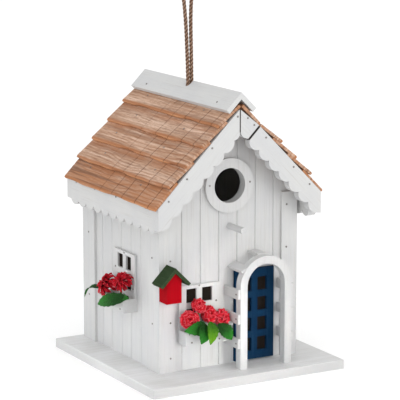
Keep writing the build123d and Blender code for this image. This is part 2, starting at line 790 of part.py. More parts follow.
# Ridge cap: down through the cap's two sides
cap_brad_u = 6.5
for side, name, below in ((-1, "left", "left_course_1"), (1, "right", "right_top_course")):
    x, z = on_roof(side, cap_brad_u, cap_top)
    through = (f"ridge_cap_{name}", below, f"roof_deck_{name}")
    for y in (-56.0, 78.0):
        drive("roof_brads", (x, y, z), (-side, 0, -1), CAP_BRAD, through)

# Shingle courses: two brads in each, just above the next board's upper edge
EDGE_TO_BRAD = 4.0
EAVE_TO_BRAD = 8.5
course_plan = [(-1, "roof_deck_left", "roof_brads", row) for row in left_laid]
course_plan += [(1, "flap_deck", "flap_brads", row) for row in flap_laid]
for index, (side, deck, group, (name, start, end, raised)) in enumerate(course_plan):
    slope = raised / (end - start)
    nail_u = end - COURSE_LAP - (EDGE_TO_BRAD if raised else EAVE_TO_BRAD)
    nail_v = COURSE + slope * (nail_u - start)
    down = (side * (slope - 1), 0, -(slope + 1))
    front_y = COURSE_FRONT_Y + 42 + 7 * (index % 3)
    back_y = COURSE_BACK_Y - 33 - 9 * (index % 2)
    x, z = on_roof(side, nail_u, nail_v)
    for y in (front_y, back_y):
        drive(group, (x, y, z), down, WALL_BRAD, (name, deck))

# Fascias, into the ends of the decks
fascia_z = APEX_Z - EAVE_X - 2.6
for y in (-57.0, 0.0, 43.0, 82.0):
    left_boards = ("fascia_left", "roof_deck_left")
    right_boards = ("flap_fascia", "flap_deck")
    drive("roof_brads", (-EAVE_X, y, fascia_z), (1, 0, 0), CAP_BRAD, left_boards)
    drive("flap_brads", (EAVE_X, y, fascia_z), (-1, 0, 0), CAP_BRAD, right_boards)

# Entrance ring
for x in (-21.0, 21.0):
    ring_point = (x, FRONT_Y - RING_THICK, HOLE_Z + 1.5)
    drive("wall_brads", ring_point, INTO_HOUSE, WALL_BRAD, ("entrance_ring", "front_wall"))

# Corner strips
for x, name in ((-61.0, "front_left_strip"), (61.0, "front_right_strip")):
    for z in (22.0, 55.0, 112.0, 152.0):
        drive("wall_brads", (x, STRIP_Y, z), INTO_HOUSE, WALL_BRAD, (name, "front_wall"))
for side, name in ((-1, "left_wall"), (1, "right_wall")):
    through = ("side_corner_strips", name)
    for y in (-46.5, 81.0):
        for z in (53.0, 114.0):
            drive("wall_brads", (side * strip_x, y, z), (-side, 0, 0), WALL_BRAD, through)

# Portal slats, into the edge of the arch
for (x, z), (dx, dz) in slat_feet:
    point = (x, SLAT_BRAD_Y, z)
    drive("trim_brads", point, (dx, 0, dz), SLAT_BRAD, ("portal_slats", "portal_arch"))

# Window frames and flower boxes
front_pile = ("front_window_frame", "window_backings", "front_wall")
side_pile = ("side_window_frame", "window_backings", "left_wall")
frame_face = BACKING + FRAME_THICK
for across, up in ((0, 19.0), (17.5, 3.0), (-17.5, -12.0), (17.5, -12.0)):
    front_point = (front_x + across, FRONT_Y - frame_face, front_z + up)
    side_point = (-WALL_HALF - frame_face, side_y + across, side_z + up)
    drive("trim_brads", front_point, INTO_HOUSE, WALL_BRAD + 1, front_pile)
    drive("trim_brads", side_point, (1, 0, 0), WALL_BRAD + 1, side_pile)
box_brad_drop = 9.5
for across in (-14.5, 14.0):
    front_point = (front_x + across, FRONT_Y - BOX_DEPTH, front_box_top - box_brad_drop)
    side_point = (-WALL_HALF - BOX_DEPTH, side_y + across, side_box_top - box_brad_drop)
    drive("trim_brads", front_point, INTO_HOUSE, BOX_BRAD, ("front_flower_box", "front_wall"))
    drive("trim_brads", side_point, (1, 0, 0), BOX_BRAD, ("side_flower_box", "left_wall"))

for group, solids in brads.items():
    parts[group] = Compound(solids)

# Hinge screws: two through each leaf, the course board and the deck


def screw_down(leaves, boards, u, v, slope):
    """The screws of one set of leaves, with their bores cut in the leaves and the boards."""
    screws = []
    down = Vector(slope - 1, 0, -(slope + 1)).normalized()
    for middle in HINGE_Y:
        for y in (middle - SCREW_Y, middle + SCREW_Y):
            point = roof_point(1, u, v, y)
            head = rod(point - down * SCREW_HEAD, down, SCREW_HEAD_R, SCREW_HEAD)
            screws.append(head + rod(point, down, SCREW_R, SCREW_LENGTH))
            for name in (leaves, *boards):
                parts[name] = parts[name] - rod(point, down, SCREW_R + BRAD_FIT, SCREW_LENGTH)
    return Compound(screws)


fixed_boards = ("right_top_course", "roof_deck_right")
flap_boards = ("flap_course_1", "flap_deck")
leaf_top = COURSE + LEAF
flap_leaf_top = leaf_top + (SCREW_U - SPLIT_GAP / 2) * flap_slope
parts["hinge_screws_fixed"] = screw_down(
    "hinge_leaves_fixed", fixed_boards, SPLIT_U - SCREW_U, leaf_top, 0
)
parts["hinge_screws_flap"] = screw_down(
    "hinge_leaves_flap", flap_boards, SPLIT_U + SCREW_U, flap_leaf_top, flap_slope
)

# Nails up through the base board into the walls, their heads flush with the underside
gable_mid_y = (FRONT_Y + WALL / 2, BACK_Y - WALL / 2)
wall_mid_x = WALL_HALF - WALL / 2
nail_spots = [(x, y) for x in (-50.0, 0.0, 50.0) for y in gable_mid_y]
nail_spots += [(x, y) for x in (-wall_mid_x, wall_mid_x) for y in (0.0, 45.0)]
nails = []
for x, y in nail_spots:
    foot = (x, y, 0)
    neck = (x, y, NAIL_HEAD)
    nails.append(rod(foot, (0, 0, 1), NAIL_HEAD_R, NAIL_HEAD) + rod(neck, (0, 0, 1), NAIL_R, NAIL_LENGTH))
    sink = rod(foot, (0, 0, 1), NAIL_HEAD_R + BRAD_FIT, NAIL_HEAD)
    bore = rod(foot, (0, 0, 1), NAIL_R + BRAD_FIT, NAIL_HEAD + NAIL_LENGTH)
    parts["base_board"] = parts["base_board"] - sink
    for name in ("base_board", "front_wall", "back_wall", "left_wall", "right_wall"):
        parts[name] = parts[name] - bore
parts["base_nails"] = Compound(nails)

os.makedirs("parts", exist_ok=True)
for name, shape in parts.items():
    export_step(shape, f"parts/{name}.step")
print(len(parts), "nodes")
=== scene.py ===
import math

import bpy
import numpy as np
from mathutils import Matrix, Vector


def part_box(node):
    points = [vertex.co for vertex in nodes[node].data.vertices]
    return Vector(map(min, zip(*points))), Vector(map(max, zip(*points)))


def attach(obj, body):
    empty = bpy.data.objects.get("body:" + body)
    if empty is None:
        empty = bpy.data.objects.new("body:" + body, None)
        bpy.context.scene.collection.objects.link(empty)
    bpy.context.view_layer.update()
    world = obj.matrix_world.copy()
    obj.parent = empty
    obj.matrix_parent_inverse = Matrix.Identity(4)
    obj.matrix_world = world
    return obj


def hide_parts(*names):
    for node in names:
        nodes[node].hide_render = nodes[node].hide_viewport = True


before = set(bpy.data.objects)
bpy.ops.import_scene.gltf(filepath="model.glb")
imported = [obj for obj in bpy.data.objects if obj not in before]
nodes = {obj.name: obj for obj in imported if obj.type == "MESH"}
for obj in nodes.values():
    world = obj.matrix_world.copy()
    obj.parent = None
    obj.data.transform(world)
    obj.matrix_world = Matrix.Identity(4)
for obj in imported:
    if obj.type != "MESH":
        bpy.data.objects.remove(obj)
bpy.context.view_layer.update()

# Viewpoint: a long lens on the house's front left corner, from about twice the house's height, so
# that both walls and the left roof slope show with hardly any perspective.
camera_data = bpy.data.cameras.new("viewpoint")
camera_data.sensor_width = 36.0
camera_data.lens = 178.32
camera_data.clip_end = 50.0
camera = bpy.data.objects.new("viewpoint", camera_data)
camera.location = (-0.88821, -1.57367, 0.51334)
camera.rotation_euler = (math.radians(90 - 11.32), 0.0, math.radians(-29.53))
bpy.context.scene.collection.objects.link(camera)
bpy.context.scene.camera = camera
bpy.context.scene.view_settings.view_transform = "Standard"

# Studio: a faintly glowing white floor that runs out of sight under an even white surround, with
# one broad lamp in front on the right, a weaker one on the left and a narrow low beam on the front
# and on the left wall.
STUDIO_WHITE = (1.0, 1.0, 1.0, 1.0)
FLOOR_REACH = 12.0


class Value:
    """A number in a material. Python's operators on it add Math nodes to its finish."""

    def __init__(self, finish, socket):
        self.finish = finish
        self.socket = socket

    def with_node(self, operation, first, second):
        return self.finish.math(operation, first, second)

    def __add__(self, other):
        return self.with_node("ADD", self, other)

    def __sub__(self, other):
        return self.with_node("SUBTRACT", self, other)

    def __mul__(self, other):
        return self.with_node("MULTIPLY", self, other)

    def __truediv__(self, other):
        return self.with_node("DIVIDE", self, other)

    def __radd__(self, other):
        return self.with_node("ADD", other, self)

    def __rsub__(self, other):
        return self.with_node("SUBTRACT", other, self)

    def __rmul__(self, other):
        return self.with_node("MULTIPLY", other, self)

    def step(self, low, high):
        """0 below low, 1 above high and an S-curve between; low above high turns it round."""
        ramp = self.finish.add(
            "ShaderNodeMapRange",
            {"interpolation_type": "SMOOTHSTEP"},
            {"Value": self, "From Min": low, "From Max": high},
        )
        return Value(self.finish, ramp.outputs[0])


class Finish:
    """One material: a Principled shader and whatever feeds it."""

    def __init__(self, name):
        self.material = bpy.data.materials.new(name)
        self.material.use_nodes = True
        self.tree = self.material.node_tree
        self.shader = self.tree.nodes["Principled BSDF"]
        self.place = self.add("ShaderNodeTexCoord").outputs

    def add(self, kind, settings=None, sockets=None):
        """A node of one type: its settings first, then its sockets' values or links."""
        node = self.tree.nodes.new(kind)
        for key, value in (settings or {}).items():
            setattr(node, key, value)
        for key, value in (sockets or {}).items():
            socket = node.inputs[key]
            if isinstance(value, Value):
                value = value.socket
            if isinstance(value, bpy.types.NodeSocket):
                self.tree.links.new(value, socket)
            elif socket.type == "RGBA" and len(value) == 3:
                socket.default_value = (*value, 1.0)
            else:
                socket.default_value = value
        return node

    def math(self, operation, first, second=0.0):
        node = self.add("ShaderNodeMath", {"operation": operation}, {0: first, 1: second})
        return Value(self, node.outputs[0])

    def stored(self, label):
        """A number stored on the piece's vertices under a label."""
        return Value(self, self.add("ShaderNodeAttribute", {"attribute_name": label}).outputs["Fac"])

    def split(self, vector):
        """The three numbers of a vector."""
        parts = self.add("ShaderNodeSeparateXYZ", None, {0: vector}).outputs
        return [Value(self, part) for part in parts]

    def join(self, x, y, z):
        """A vector from three numbers."""
        return self.add("ShaderNodeCombineXYZ", None, {0: x, 1: y, 2: z}).outputs[0]

    def stretched(self, vector, scale, turn=(0.0, 0.0, 0.0), move=(0.0, 0.0, 0.0)):
        """Coordinates turned, then scaled: a small scale draws the pattern out along that axis."""
        turned = self.add("ShaderNodeMapping", None, {"Vector": vector, "Rotation": turn, "Location": move})
        drawn = self.add("ShaderNodeMapping", None, {"Vector": turned.outputs[0], "Scale": scale})
        return drawn.outputs[0]

    def noise(self, vector, scale, detail=3.0, roughness=0.5):
        """Soft noise about 0.5."""
        node = self.add(
            "ShaderNodeTexNoise",
            None,
            {"Vector": vector, "Scale": scale, "Detail": detail, "Roughness": roughness},
        )
        return Value(self, node.outputs[0])

    def mix(self, factor, first, second):
        """A colour between two colours."""
        return self.add("ShaderNodeMix", {"data_type": "RGBA"}, {0: factor, 6: first, 7: second}).outputs[2]

    def bump(self, height, depth, after=None):
        """A normal from a height of 0 to 1 that stands for depth metres."""
        sockets = {"Height": height, "Distance": depth, "Strength": 1.0}
        if after is not None:
            sockets["Normal"] = after
        return self.add("ShaderNodeBump", None, sockets).outputs[0]

    def set(self, **sockets):
        """Feed the shader: underscores in a name stand for spaces."""
        for key, value in sockets.items():
            socket = self.shader.inputs[key.replace("_", " ")]
            if isinstance(value, Value):
                value = value.socket
            if isinstance(value, bpy.types.NodeSocket):
                self.tree.links.new(value, socket)
            elif isinstance(value, tuple) and len(value) == 3:
                socket.default_value = (*value, 1.0)
            else:
                socket.default_value = value
        return self.material


def mesh_object(name, points, faces, material):
    """A mesh piece from an array of points and an array of quads, shaded smooth."""
    mesh = bpy.data.meshes.new(name)
    mesh.from_pydata(points.reshape(-1, 3).tolist(), [], faces.tolist())
    mesh.polygons.foreach_set("use_smooth", np.ones(len(faces), bool))
    mesh.materials.append(material)
    piece = bpy.data.objects.new(name, mesh)
    bpy.context.scene.collection.objects.link(piece)
    return piece


floor_finish = Finish("studio_floor")
mottle = floor_finish.noise(floor_finish.place["Object"], 6.0)
floor_material = floor_finish.set(
    Base_Color=floor_finish.mix(mottle, (0.93, 0.93, 0.93), (0.95, 0.95, 0.95)),
    Roughness=0.9,
    Emission_Color=(1.0, 1.0, 1.0),
    Emission_Strength=0.10,
)
floor_corners = FLOOR_REACH * np.array([(-1, -1, 0), (1, -1, 0), (1, 1, 0), (-1, 1, 0)])
floor = mesh_object("studio_floor", floor_corners, np.array([(0, 1, 2, 3)]), floor_material)

surround = bpy.data.worlds.new("white_surround")
surround.use_nodes = True
surround.node_tree.nodes["Background"].inputs[0].default_value = STUDIO_WHITE
surround.node_tree.nodes["Background"].inputs[1].default_value = 1.0
bpy.context.scene.world = surround


def lamp(name, place, target, size, power, tint, spread=180.0):
    """A square soft lamp at a place, turned to a target, its beam narrowed to spread degrees."""
    light = bpy.data.lights.new(name, "AREA")
    light.size = size
    light.energy = power
    light.color = tint
    light.spread = math.radians(spread)
    body = bpy.data.objects.new(name, light)
    aim = np.array(target) - np.array(place)
    body.location = place
    body.rotation_euler = (
        math.acos(-aim[2] / np.linalg.norm(aim)),
        0.0,
        math.atan2(aim[1], aim[0]) - math.pi / 2,
    )
    bpy.context.scene.collection.objects.link(body)


HOUSE_MIDDLE = (0.0, 0.0, 0.13)
WARM = (1.0, 0.985, 0.965)
COOL = (0.955, 0.975, 1.0)
lamp("front_right_softbox", (0.7, -2.2, 0.90), HOUSE_MIDDLE, 1.3, 11.5, WARM)
lamp("left_softbox", (-2.1, -1.1, 1.00), HOUSE_MIDDLE, 1.3, 6.0, COOL)
lamp("low_front_lamp", (0.1, -1.45, 0.35), (-0.01, -0.06, 0.045), 0.06, 0.019, WARM, 7.0)
lamp("low_left_lamp", (-1.45, -0.4, 0.30), (-0.07, 0.0, 0.01), 0.12, 0.020, COOL, 9.0)

# Hanging cord: 3.4 mm jute twine of three twisted plies, doubled through the ridge. Its two ends go
# down the hole to one knot under the boards, and its eye hangs from whatever holds the house.
CORD_Y = 0.011
GOING_UP = ((-0.0029, 0.236), (-0.0030, 0.264), (-0.0069, 0.345), (-0.0176, 0.369), (-0.0139, 0.3916))
COMING_DOWN = ((0.0067, 0.3923), (0.0096, 0.3685), (-0.0011, 0.345), (0.0007, 0.264), (0.00075, 0.236))
cord_points = [(x, CORD_Y, z) for x, z in GOING_UP + COMING_DOWN]
route_curve = bpy.data.curves.new("cord_route", "CURVE")
route_curve.dimensions = "3D"
route_spline = route_curve.splines.new("NURBS")
route_spline.points.add(len(cord_points) - 1)
for control, point in zip(route_spline.points, cord_points):
    control.co = (*point, 1.0)
route_spline.order_u = 3
route_spline.use_endpoint_u = True
route_spline.resolution_u = 24
route_object = bpy.data.objects.new("cord_route", route_curve)
route_mesh = bpy.data.meshes.new_from_object(route_object)
route = np.array([vertex.co for vertex in route_mesh.vertices], float)
bpy.data.objects.remove(route_object)


def evenly(path, step):
    """Marks about one step apart along a path's length, and the path's point at each mark."""
    run = np.concatenate([[0.0], np.cumsum(np.linalg.norm(np.diff(path, axis=0), axis=1))])
    marks = np.linspace(0.0, run[-1], int(run[-1] / step) + 1)
    return marks, np.stack([np.interp(marks, run, path[:, axis]) for axis in range(3)], axis=1)


def frames_along(path):
    """Along a path of constant y: the way across its plane, square to it in the plane, and ahead."""
    ahead = np.gradient(path, axis=0)
    ahead /= np.linalg.norm(ahead, axis=1)[:, None]
    sideways = np.tile([0.0, 1.0, 0.0], (len(path), 1))
    return sideways, np.cross(ahead, sideways), ahead


def grid_faces(rows, columns, wrap):
    """Quads of a grid of rows by columns, closed round the columns where wrap is true."""
    across = columns if wrap else columns - 1
    row, column = np.meshgrid(np.arange(rows - 1), np.arange(across), indexing="ij")
    after = (column + 1) % columns
    here, below = row * columns, (row + 1) * columns
    quads = np.stack([here + column, here + after, below + after, below + column], axis=-1)
    return quads.reshape(-1, 4)


def put_uv(piece, along, across):
    """One UV map from two numbers per vertex, each spread over the piece's grid of points."""
    mesh = piece.data
    corners = np.empty(len(mesh.loops), np.int32)
    mesh.loops.foreach_get("vertex_index", corners)
    layer = mesh.uv_layers.new(name="lie")
    pairs = np.stack([along.ravel()[corners], across.ravel()[corners]], axis=1)
    layer.data.foreach_set("uv", pairs.astype(np.float32).ravel())


def closed_tubes(lines, radius, sides):
    """Round tubes along many lines at once, pinched shut at both ends.

    lines is (tubes, points, 3) and radius (tubes, points). A point of a tube is its line's point
    plus the radius times cos and sin of the angle round it along two directions square to the
    line. The first and last rings shrink to a thousandth.
    """
    ahead = np.gradient(lines, axis=1)
    ahead /= np.linalg.norm(ahead, axis=2)[..., None]
    helper = np.where(np.abs(ahead[..., 1:2]) < 0.9, [[[0.0, 1.0, 0.0]]], [[[1.0, 0.0, 0.0]]])
    side = np.cross(ahead, helper)
    side /= np.linalg.norm(side, axis=2)[..., None]
    other = np.cross(ahead, side)
    shrink = np.ones(lines.shape[1])
    shrink[[0, -1]] = 0.001
    angle = np.linspace(0.0, 2 * np.pi, sides, endpoint=False)
    ring = np.cos(angle)[:, None] * side[..., None, :] + np.sin(angle)[:, None] * other[..., None, :]
    size = (radius * shrink)[..., None, None]
    points = lines[..., None, :] + ring * size
    one = grid_faces(lines.shape[1], sides, True)
    start = np.arange(len(lines))[:, None, None] * lines.shape[1] * sides
    return points, (one[None] + start).reshape(-1, 4)


CORD_STEP = 0.0006
PLIES = 3
PLY_R = 0.00096
PLY_OUT = 0.00086
PLY_SIDES = 10
TWIST = 0.0110
marks, centre_line = evenly(route, CORD_STEP)
sideways, outward, ahead = frames_along(centre_line)
turn = 2 * np.pi * (marks[None] / TWIST + np.arange(PLIES)[:, None] / PLIES)
ply_lines = centre_line[None] + PLY_OUT * (
    np.cos(turn)[..., None] * sideways + np.sin(turn)[..., None] * outward
)
slubs = 1 + 0.07 * np.sin(marks[None] * 900 + 2.1 * np.arange(PLIES)[:, None]) * np.sin(marks[None] * 410)
ply_points, ply_faces = closed_tubes(ply_lines, PLY_R * slubs, PLY_SIDES)

jute = Finish("jute_twine")
along, across, unused = jute.split(jute.place["UV"])
fibre_place = jute.join(along * 260.0 + across * 9.0, across * 14.0, 0.0)
fibres = jute.noise(fibre_place, 3.0, 4.0, 0.6)
clumps = jute.noise(jute.place["Object"], 420.0, 2.0)
ply_groove_shade = jute.stored("ply_groove_shade")
tan_fibre = jute.mix(fibres.step(0.36, 0.66), (0.150, 0.076, 0.050), (0.56, 0.370, 0.260))
# Painted shade: the twine goes near black where its skin sinks into the grooves between the plies.
tan_fibre = jute.mix(ply_groove_shade, tan_fibre, (0.012, 0.004, 0.003))
jute_material = jute.set(
    Base_Color=jute.mix(clumps.step(0.4, 0.7) * 0.4, tan_fibre, (0.13, 0.065, 0.042)),
    Roughness=0.92,
    Specular_IOR_Level=0.1,
    Normal=jute.bump(fibres, 0.0003),
)
cord = mesh_object("hanging_cord", ply_points, ply_faces, jute_material)
CROWN_BAND = 0.00005
GROOVE_DEPTH = 0.00036


def store(piece, label, numbers):
    """Keep one number per vertex on a piece, for its material."""
    layer = piece.data.attributes.new(label, "FLOAT", "POINT")
    layer.data.foreach_set("value", np.ascontiguousarray(numbers, np.float32).ravel())


# How far each point of a ply sits below the twine's outer skin, as a share of the groove depth. This sets
# the painted shade in the grooves.
off_axis = np.linalg.norm(ply_points - centre_line[None, :, None], axis=-1)
store(cord, "ply_groove_shade", np.clip((PLY_R + PLY_OUT - CROWN_BAND - off_axis) / GROOVE_DEPTH, 0, 1))
put_uv(
    cord,
    np.broadcast_to(marks[None, :, None], ply_points.shape[:3]),
    np.broadcast_to(np.linspace(0, 1, PLY_SIDES)[None, None], ply_points.shape[:3]),
)
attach(cord, "house")
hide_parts("hanging_rope")

# Loose fibres: short ends of jute that stand off the twine all along, about a tenth of a millimetre
# thick. They start in the twine's skin and sweep along it.
HAIRS = 420
HAIR_R = 0.00006
HAIR_ROOT = 0.0014
dice = np.random.default_rng(7)
root = dice.integers(4, len(marks) - 12, HAIRS)
spin = dice.uniform(0, 2 * np.pi, HAIRS)
hair_length = dice.uniform(0.0012, 0.0042, HAIRS)
share = np.linspace(0.0, 1.0, 6)
lean = dice.uniform(0.6, 1.6, HAIRS)
radial = np.cos(spin)[:, None] * sideways[root] + np.sin(spin)[:, None] * outward[root]
hair_lines = (
    centre_line[root][:, None]
    + radial[:, None] * (HAIR_ROOT + hair_length[:, None, None] * 0.42 * share[None, :, None] ** 1.6)
    + ahead[root][:, None] * (hair_length * lean)[:, None, None] * share[None, :, None] * 0.8
)
hair_points, hair_faces = closed_tubes(hair_lines, np.full(hair_lines.shape[:2], HAIR_R), 3)
fibre_finish = Finish("jute_fibre")
fibre_tone = fibre_finish.noise(fibre_finish.place["Object"], 900.0)
fibre_material = fibre_finish.set(
    Base_Color=fibre_finish.mix(fibre_tone, (0.20, 0.12, 0.07), (0.48, 0.34, 0.23)),
    Roughness=0.9,
)
hairs = mesh_object("cord_fibres", hair_points, hair_faces, fibre_material)
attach(hairs, "house")

# The knot under the ridge: both ends tied in one overhand knot of the same jute, too big for the
# hole and pulled up into the corner under the two decks.
KNOT_SCALE = 0.00142
KNOT_STRAND_R = 0.0015
KNOT_STEPS = 180
KNOT_SIDES = 14
knot_low, knot_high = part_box("rope_knot")
knot_centre = np.array((knot_low + knot_high) / 2)
t = np.linspace(0, 2 * np.pi, KNOT_STEPS, endpoint=False)
trefoil = np.stack(
    [np.sin(t) + 2 * np.sin(2 * t), np.cos(t) - 2 * np.cos(2 * t), -1.2 * np.sin(3 * t)], axis=1
)
knot_line = (knot_centre + KNOT_SCALE * trefoil[:, [0, 2, 1]])[None]
knot_points, knot_faces = closed_tubes(knot_line, np.full((1, KNOT_STEPS), KNOT_STRAND_R), KNOT_SIDES)
knot = mesh_object("cord_knot", knot_points, knot_faces, jute_material)
store(knot, "ply_groove_shade", np.zeros(knot_points.shape[:3]))
put_uv(
    knot,
    np.broadcast_to((t * 0.0045)[None, :, None], knot_points.shape[:3]),
    np.broadcast_to(np.linspace(0, 1, KNOT_SIDES)[None, None], knot_points.shape[:3]),
)
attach(knot, "house")
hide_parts("rope_knot")

# White woodwork: thin softwood boards, nailed and brushed with one coat of satin white. The grain
# and the brush marks run along each board. Edges, grooves and inner corners are darkened towards the
# undercoat: partly paint worn thin, partly painted shade.
UPRIGHT = (0.0, 0.0, 0.0)
FRONT_TO_BACK = (math.pi / 2, 0.0, 0.0)
SIDE_TO_SIDE = (0.0, math.pi / 2, 0.0)
DOWN_LEFT = (0.0, -math.pi / 4, 0.0)
DOWN_RIGHT = (0.0, math.pi / 4, 0.0)


def edge_mask(finish, width):
    """1 on a sharp edge and 0 away from it: how far a rounded normal leans from the true one."""
    rounded = finish.add("ShaderNodeBevel", {"samples": 4}, {"Radius": width}).outputs[0]
    flat = finish.add("ShaderNodeNewGeometry").outputs["Normal"]
    lean = finish.add("ShaderNodeVectorMath", {"operation": "DOT_PRODUCT"}, {0: rounded, 1: flat})
    return (1.0 - Value(finish, lean.outputs["Value"])).step(0.03, 0.25)


RIDGE_DEPTH = 0.00012
GAP_SHADE_DARK = (0.035, 0.024, 0.018)


def painted_wood(name, grain, paint, faded, bare, gloss=0.5, edge_darkening=0.35, gap_shade=None, edge=None):
    """Brushed paint over wood whose grain, turned upright by grain, shows as fine ridges.

    The optional function for cut faces takes the finish and its coordinates and gives 1 on the cut faces of
    a split or joint. These go near black: partly bare wood, partly painted shade in the gap. edge is a
    darker paint for the board's upright faces: painted shade, so that they look less bright under the
    lamps.
    """
    finish = Finish(name)
    place = finish.place["Object"]
    ridges = finish.noise(finish.stretched(place, (1.0, 1.0, 0.025), grain), 1100.0, 4.0, 0.6)
    strokes = finish.noise(finish.stretched(place, (1.0, 1.0, 0.05), grain, (0.3, 0.1, 0.2)), 260.0, 3.0)
    blotches = finish.noise(place, 32.0, 3.0)
    specks = finish.noise(place, 1500.0, 1.0).step(0.70, 0.78)
    # Painted shade in part: the edge mask darkens grooves and inner corners as well as worn outer edges,
    # towards the undercoat.
    worn_and_shaded_edges = edge_mask(finish, 0.0007) * finish.noise(place, 240.0, 3.0).step(0.35, 0.75)
    tone = strokes.step(0.25, 0.75) * 0.45 + blotches.step(0.3, 0.7) * 0.55
    # Painted shade: upright faces take the darker edge paint, so that they look less bright under the
    # lamps.
    if edge:
        facing = finish.split(finish.add("ShaderNodeNewGeometry").outputs["Normal"])[2]
        paint = finish.mix(finish.math("ABSOLUTE", facing).step(0.7, 0.3), paint, edge)
    colour = finish.mix(tone, paint, faded)
    thin = (1.0 - ridges.step(0.30, 0.46)) * 0.28 + specks * 0.3
    colour = finish.mix(thin + worn_and_shaded_edges * edge_darkening, colour, bare)
    if gap_shade:
        # Painted shade in part: cut faces in the split and the apex joint go near black, for bare wood and
        # the shade in the gap.
        colour = finish.mix(gap_shade(finish, place) * 0.93, colour, GAP_SHADE_DARK)
    smooth = finish.bump(strokes, RIDGE_DEPTH * 1.6)
    return finish.set(
        Base_Color=colour,
        Roughness=gloss + ridges * 0.22,
        Normal=finish.bump(ridges, RIDGE_DEPTH, smooth),
    )


WHITE = (0.600, 0.600, 0.590)
COOL_WHITE = (0.545, 0.550, 0.558)
BASE_WHITE = (0.740, 0.743, 0.755)
# Painted shade: the colour of the base board's upright faces, darker than its top.
BASE_UPRIGHT_SHADE = (0.560, 0.560, 0.565)
UNDERCOAT = (0.40, 0.37, 0.33)
APEX_Z = 0.25
SPLIT_U = 0.0265
JOINT_X = -0.0016
JOINT_FOOT_Z = 0.227


def dark_joints(finish, place):
    """1 in the split across the right slope and in the upright joint at the apex."""
    x, y, z = finish.split(place)
    off_split = finish.math("ABSOLUTE", (x - z + APEX_Z) * math.sqrt(0.5) - SPLIT_U)
    off_joint = finish.math("ABSOLUTE", x - JOINT_X)
    in_joint = off_joint.step(0.0009, 0.0003) * z.step(JOINT_FOOT_Z - 0.0005, JOINT_FOOT_Z)
    return finish.math("MAXIMUM", off_split.step(0.0013, 0.00085), in_joint)


def white_paint(name, grain, gap_shade=None):
    """The house's white, with its grain along a board that lies as grain says."""
    return painted_wood(name, grain, WHITE, COOL_WHITE, UNDERCOAT, gap_shade=gap_shade)


white_upright = white_paint("white_paint_upright", UPRIGHT)
white_lengthwise = white_paint("white_paint_lengthwise", FRONT_TO_BACK)
white_crosswise = white_paint("white_paint_crosswise", SIDE_TO_SIDE)
white_down_left = white_paint("white_paint_down_left", DOWN_LEFT, dark_joints)
white_down_right = white_paint("white_paint_down_right", DOWN_RIGHT, dark_joints)
base_paint = painted_wood("base_paint", SIDE_TO_SIDE, BASE_WHITE, WHITE, UNDERCOAT, edge=BASE_UPRIGHT_SHADE)
white_pieces = {
    white_upright: (
        "front_wall",
        "back_wall",
        "left_wall",
        "right_wall",
        "front_left_strip",
        "front_right_strip",
        "side_corner_strips",
        "entrance_ring",
        "portal_arch",
        "front_window_frame",
        "side_window_frame",
    ),
    white_lengthwise: (
        "ridge_cap_left",
        "ridge_cap_right",
        "fascia_left",
        "flap_fascia",
        "perch",
        "portal_slats",
        "side_flower_box",
    ),
    white_crosswise: ("front_flower_box",),
    base_paint: ("base_board",),
    white_down_left: ("barge_front_left", "barge_back_left"),
    white_down_right: (
        "barge_front_right_top",
        "barge_back_right_top",
        "flap_barge_front",
        "flap_barge_back",
    ),
}


def dress(material, *names):
    """Give CAD pieces a material in place of the plain one that they came with."""
    for name in names:
        nodes[name].data.materials.clear()
        nodes[name].data.materials.append(material)


for material, names in white_pieces.items():
    dress(material, *names)

# Door, little house and dark panes: thin plywood in flat colours. The door is navy over black
# backing sheets, the little house is red with two dark green roof boards, glued to its corner.
FLAT_SPECULAR = 0.03
navy = painted_wood(
    "navy_paint",
    UPRIGHT,
    paint=(0.003, 0.021, 0.056),
    faded=(0.006, 0.032, 0.076),
    bare=(0.03, 0.07, 0.12),
    gloss=0.6,
)
red = painted_wood(
    "red_paint",
    UPRIGHT,
    paint=(0.40, 0.002, 0.008),
    faded=(0.31, 0.002, 0.006),
    bare=(0.20, 0.01, 0.01),
    gloss=0.6,
    edge_darkening=0.5,
)
green = painted_wood(
    "green_paint",
    FRONT_TO_BACK,
    paint=(0.038, 0.064, 0.029),
    faded=(0.026, 0.046, 0.021),
    bare=(0.13, 0.15, 0.10),
    gloss=0.7,
    edge_darkening=0.6,
)
for material in (navy, red, green):
    material.node_tree.nodes["Principled BSDF"].inputs["Specular IOR Level"].default_value = FLAT_SPECULAR
dress(navy, "door_panel")
dress(red, "mini_house_body")
dress(green, "mini_house_roof")
black_sheet = Finish("black_sheet")
paper_place = black_sheet.stretched(black_sheet.place["Object"], (1.0, 1.0, 0.08))
paper_grain = black_sheet.noise(paper_place, 700.0, 3.0)
dress(
    black_sheet.set(
        Base_Color=black_sheet.mix(paper_grain, (0.006, 0.005, 0.004), (0.022, 0.015, 0.012)),
        Roughness=0.85,
        Specular_IOR_Level=FLAT_SPECULAR,
        Normal=black_sheet.bump(paper_grain, 0.0001),
    ),
    "door_backing",
    "window_backings",
)

# Brads, base nails and hinges: dull steel brads driven home, so that their thin heads lie on the
# paint, nails sunk flush under the base, and two small brass butt hinges with brass screws that
# carry the flap of the right roof slope.


def metal(name, bright, dull, roughness):
    """Drawn metal with fine scratches and dull patches."""
    finish = Finish(name)
    place = finish.place["Object"]
    patches = finish.noise(place, 700.0, 3.0).step(0.35, 0.7)
    scratches = finish.noise(finish.stretched(place, (1.0, 0.05, 1.0)), 3000.0, 3.0)
    return finish.set(
        Base_Color=finish.mix(patches, bright, dull),
        Metallic=1.0,
        Roughness=roughness + patches * 0.25,
        Normal=finish.bump(scratches, 0.00004),
    )


